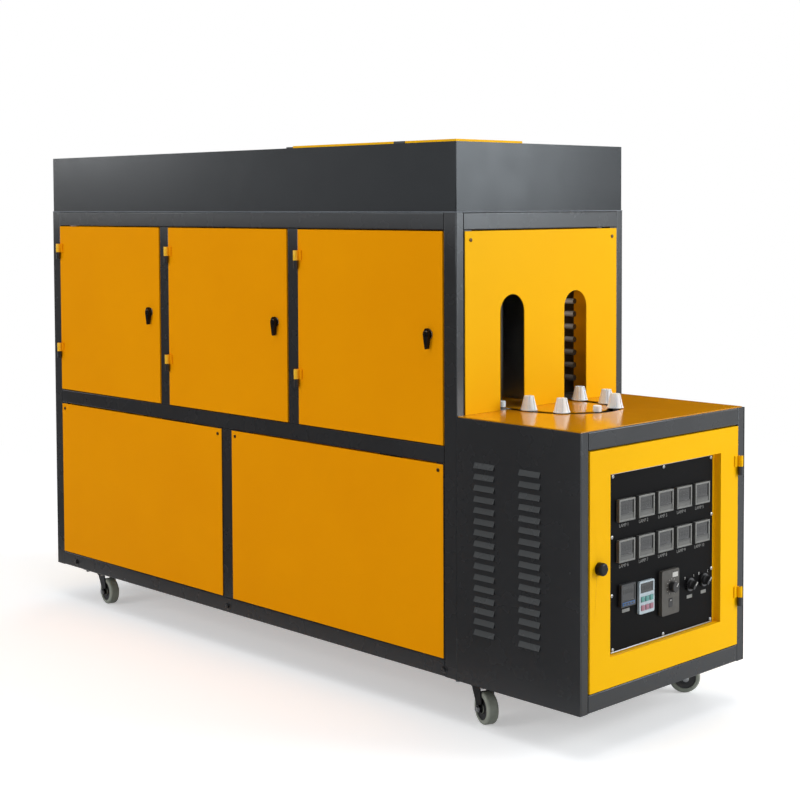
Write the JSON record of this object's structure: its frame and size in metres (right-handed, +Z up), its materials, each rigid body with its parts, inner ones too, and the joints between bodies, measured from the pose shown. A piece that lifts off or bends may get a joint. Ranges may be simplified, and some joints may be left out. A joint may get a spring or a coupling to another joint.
{
  "type": "infrared preform heating oven",
  "caption": "Semi-automatic infrared oven of a PET bottle line: hooded yellow cabinet on casters with a spindle conveyor that runs through arches and a control box at its end.",
  "frame": {"origin": "middle of the overall box, on the floor under the caster wheels", "axes": "+X along the machine towards the control box, +Y towards the side with fixed panels, +Z up"},
  "size_m": [2.0823, 0.6205, 1.325],
  "materials": {
    "yellow_paint": "semi-gloss powder coat",
    "grey_paint": "fine hammered powder coat",
    "black_plastic": "moulded satin black",
    "panel_black": "satin black",
    "instrument_grey": "moulded satin grey",
    "white_nylon": "turned nylon",
    "steel": "bare, lightly brushed",
    "aluminium": "bright mill finish",
    "quartz": "clear quartz tube",
    "cast_grey": "machine enamel",
    "black_steel": "black zinc plated",
    "grey_rubber": "moulded tread",
    "chrome": "polished ring"
  },
  "bodies": {
    "machine": {"arch_panel": "yellow_paint", "back_panels": "yellow_paint", "box_far_cover": "yellow_paint", "box_far_panel": "grey_paint", "box_frame": "grey_paint", "box_side_panel": "grey_paint", "cable_gland": "black_plastic", "caster_plates": "black_steel", "centre_reflector": "aluminium", "conveyor_chain": "steel", "deck_pedestals": "steel", "flange_bearings": "cast_grey", "gearmotor": "cast_grey", "hinge_pins": "grey_paint", "hood": "grey_paint", "lamp_brackets": "steel", "lid_brackets": "grey_paint", "lower_panel_1": "yellow_paint", "lower_panel_2": "yellow_paint", "main_frame": "grey_paint", "oven_deck": "steel", "power_modules": "aluminium", "quartz_lamps": "quartz", "rear_panels": "yellow_paint", "spindle_heads": "white_nylon", "table_top": "yellow_paint", "top_lid": "yellow_paint"},
    "side_door_1": {"door_1": "yellow_paint"},
    "side_latch_1": {"door_latch_1": "black_plastic"},
    "side_door_2": {"door_2": "yellow_paint"},
    "side_latch_2": {"door_latch_2": "black_plastic"},
    "side_door_3": {"door_3": "yellow_paint"},
    "side_latch_3": {"door_latch_3": "black_plastic"},
    "instrument_door": {"control_door": "yellow_paint", "control_panel": "panel_black", "lamp_meters": "instrument_grey", "timer": "black_plastic", "keypad": "instrument_grey", "speed_controller": "instrument_grey", "selector_bodies": "chrome"},
    "door_knob": {"control_door_knob": "black_plastic"},
    "selector_1": {"selector_lever_1": "black_plastic"},
    "selector_2": {"selector_lever_2": "black_plastic"},
    "speed_dial": {"speed_knob": "black_plastic"},
    "rocker": {"run_rocker": "black_plastic"},
    "drive_sprocket": {"rear_sprocket": "steel"},
    "idler_sprocket": {"front_sprocket": "steel"},
    "cup_1": {"preform_cup_1": "white_nylon"},
    "cup_2": {"preform_cup_2": "white_nylon"},
    "cup_3": {"preform_cup_3": "white_nylon"},
    "cup_4": {"preform_cup_4": "white_nylon"},
    "cup_5": {"preform_cup_5": "white_nylon"},
    "caster_1": {"caster_fork_1": "black_steel"},
    "wheel_1": {"caster_wheel_1": "grey_rubber"},
    "caster_2": {"caster_fork_2": "black_steel"},
    "wheel_2": {"caster_wheel_2": "grey_rubber"},
    "caster_3": {"caster_fork_3": "black_steel"},
    "wheel_3": {"caster_wheel_3": "grey_rubber"},
    "caster_4": {"caster_fork_4": "black_steel"},
    "wheel_4": {"caster_wheel_4": "grey_rubber"}
  },
  "joints": [
    {"name": "door_1_swing", "type": "hinge", "parent": "machine", "child": "side_door_1", "pos_m": [-0.979, -0.3085, 0.875], "axis": [0, 0, -1], "range_deg": [0, 110]},
    {"name": "latch_1_turn", "type": "hinge", "parent": "side_door_1", "child": "side_latch_1", "pos_m": [-0.51833, -0.302, 0.88284], "axis": [0, -1, 0], "range_deg": [0, 90]},
    {"name": "door_2_swing", "type": "hinge", "parent": "machine", "child": "side_door_2", "pos_m": [-0.43233, -0.3085, 0.875], "axis": [0, 0, -1], "range_deg": [0, 110]},
    {"name": "latch_2_turn", "type": "hinge", "parent": "side_door_2", "child": "side_latch_2", "pos_m": [0.02833, -0.302, 0.88284], "axis": [0, -1, 0], "range_deg": [0, 90]},
    {"name": "door_3_swing", "type": "hinge", "parent": "machine", "child": "side_door_3", "pos_m": [0.11433, -0.3085, 0.875], "axis": [0, 0, -1], "range_deg": [0, 110]},
    {"name": "latch_3_turn", "type": "hinge", "parent": "side_door_3", "child": "side_latch_3", "pos_m": [0.575, -0.302, 0.88284], "axis": [0, -1, 0], "range_deg": [0, 90]},
    {"name": "control_door_swing", "type": "hinge", "parent": "machine", "child": "instrument_door", "pos_m": [1.0285, 0.274, 0.4], "axis": [0, 0, 1], "range_deg": [0, 110]},
    {"name": "door_knob_turn", "type": "hinge", "parent": "instrument_door", "child": "door_knob", "pos_m": [1.022, -0.243, 0.40619], "axis": [-1, 0, 0], "range_deg": [0, 90]},
    {"name": "selector_1_turn", "type": "hinge", "parent": "instrument_door", "child": "selector_1", "pos_m": [1.014, 0.1, 0.312], "axis": [1, 0, 0], "range_deg": [0, 90]},
    {"name": "selector_2_turn", "type": "hinge", "parent": "instrument_door", "child": "selector_2", "pos_m": [1.014, 0.154, 0.314], "axis": [1, 0, 0], "range_deg": [0, 90]},
    {"name": "speed_knob_turn", "type": "hinge", "parent": "instrument_door", "child": "speed_dial", "pos_m": [1.018, 0.021, 0.322], "axis": [-1, 0, 0], "range_deg": [0, 300]},
    {"name": "run_rocker_tilt", "type": "hinge", "parent": "instrument_door", "child": "rocker", "pos_m": [1.0154, 0.017, 0.286], "axis": [0, 1, 0], "range_deg": [-8, 8]},
    {"name": "rear_sprocket_spin", "type": "hinge", "parent": "machine", "child": "drive_sprocket", "pos_m": [-0.7559, 0, 0.674], "axis": [0, 0, 1], "continuous": true},
    {"name": "front_sprocket_spin", "type": "hinge", "parent": "machine", "child": "idler_sprocket", "pos_m": [0.73, 0, 0.674], "axis": [0, 0, 1], "continuous": true},
    {"name": "cup_1_spin", "type": "hinge", "parent": "machine", "child": "cup_1", "pos_m": [0.67599, 0.114, 0.704], "axis": [0, 0, 1], "continuous": true},
    {"name": "cup_2_spin", "type": "hinge", "parent": "machine", "child": "cup_2", "pos_m": [0.76139, 0.10959, 0.704], "axis": [0, 0, 1], "continuous": true},
    {"name": "cup_3_spin", "type": "hinge", "parent": "machine", "child": "cup_3", "pos_m": [0.8279, 0.0584, 0.704], "axis": [0, 0, 1], "continuous": true},
    {"name": "cup_4_spin", "type": "hinge", "parent": "machine", "child": "cup_4", "pos_m": [0.79443, -0.09404, 0.704], "axis": [0, 0, 1], "continuous": true},
    {"name": "cup_5_spin", "type": "hinge", "parent": "machine", "child": "cup_5", "pos_m": [0.71257, -0.114, 0.704], "axis": [0, 0, 1], "continuous": true},
    {"name": "caster_1_swivel", "type": "hinge", "parent": "machine", "child": "caster_1", "pos_m": [0.679, -0.242, 0.0857], "axis": [0, 0, 1], "continuous": true},
    {"name": "wheel_1_roll", "type": "hinge", "parent": "caster_1", "child": "wheel_1", "pos_m": [0.70531, -0.25158, 0.0375], "axis": [0.342, 0.9397, 0], "continuous": true},
    {"name": "caster_2_swivel", "type": "hinge", "parent": "machine", "child": "caster_2", "pos_m": [-0.85, -0.242, 0.0857], "axis": [0, 0, 1], "continuous": true},
    {"name": "wheel_2_roll", "type": "hinge", "parent": "caster_2", "child": "wheel_2", "pos_m": [-0.82227, -0.2459, 0.0375], "axis": [0.1392, 0.9903, 0], "continuous": true},
    {"name": "caster_3_swivel", "type": "hinge", "parent": "machine", "child": "caster_3", "pos_m": [-0.85, 0.242, 0.0857], "axis": [0, 0, 1], "continuous": true},
    {"name": "wheel_3_roll", "type": "hinge", "parent": "caster_3", "child": "wheel_3", "pos_m": [-0.82575, 0.256, 0.0375], "axis": [-0.5, 0.866, 0], "continuous": true},
    {"name": "caster_4_swivel", "type": "hinge", "parent": "machine", "child": "caster_4", "pos_m": [0.86, 0.242, 0.0857], "axis": [0, 0, 1], "continuous": true},
    {"name": "wheel_4_roll", "type": "hinge", "parent": "caster_4", "child": "wheel_4", "pos_m": [0.8798, 0.2618, 0.0375], "axis": [-0.7071, 0.7071, 0], "continuous": true}
  ],
  "couplings": [
    {"joint": "front_sprocket_spin", "follows": "rear_sprocket_spin", "ratio": 1}
  ]
}
